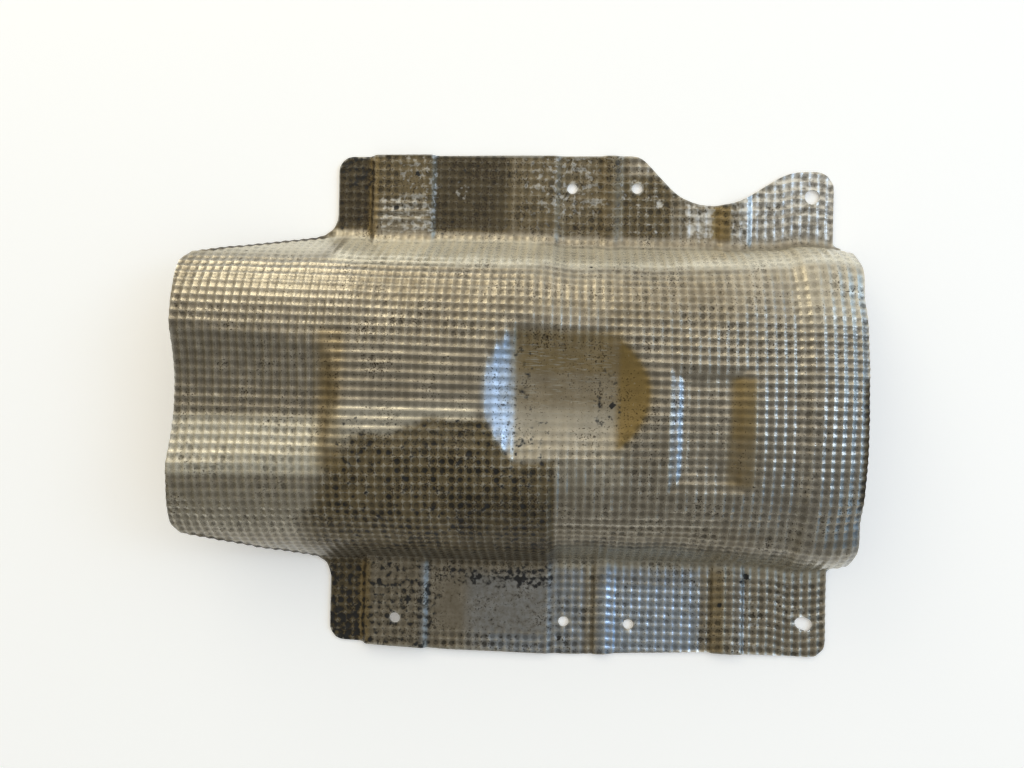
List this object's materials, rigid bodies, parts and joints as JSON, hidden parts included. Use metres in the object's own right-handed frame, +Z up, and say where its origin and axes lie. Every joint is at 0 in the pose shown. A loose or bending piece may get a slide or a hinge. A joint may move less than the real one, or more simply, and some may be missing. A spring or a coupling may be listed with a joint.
{
  "type": "exhaust heat shield",
  "caption": "Pressed aluminium heat shield: a low tunnel over an exhaust pipe with a dish, a trough and a panel in its crown and stepped bolting flanges along both sides.",
  "frame": {"origin": "on the floor, under the middle of the part's bounding box", "axes": "+X along the tunnel, from the end with the trough to the end with the lip; +Y towards the flange with the ear; +Z up, out of the crown"},
  "size_m": [0.427, 0.333, 0.061],
  "materials": {
    "embossed_aluminium": "satin embossed sheet, dulled and stained by heat and road dirt"
  },
  "bodies": {
    "root": {"heat_shield": "embossed_aluminium"}
  },
  "joints": []
}
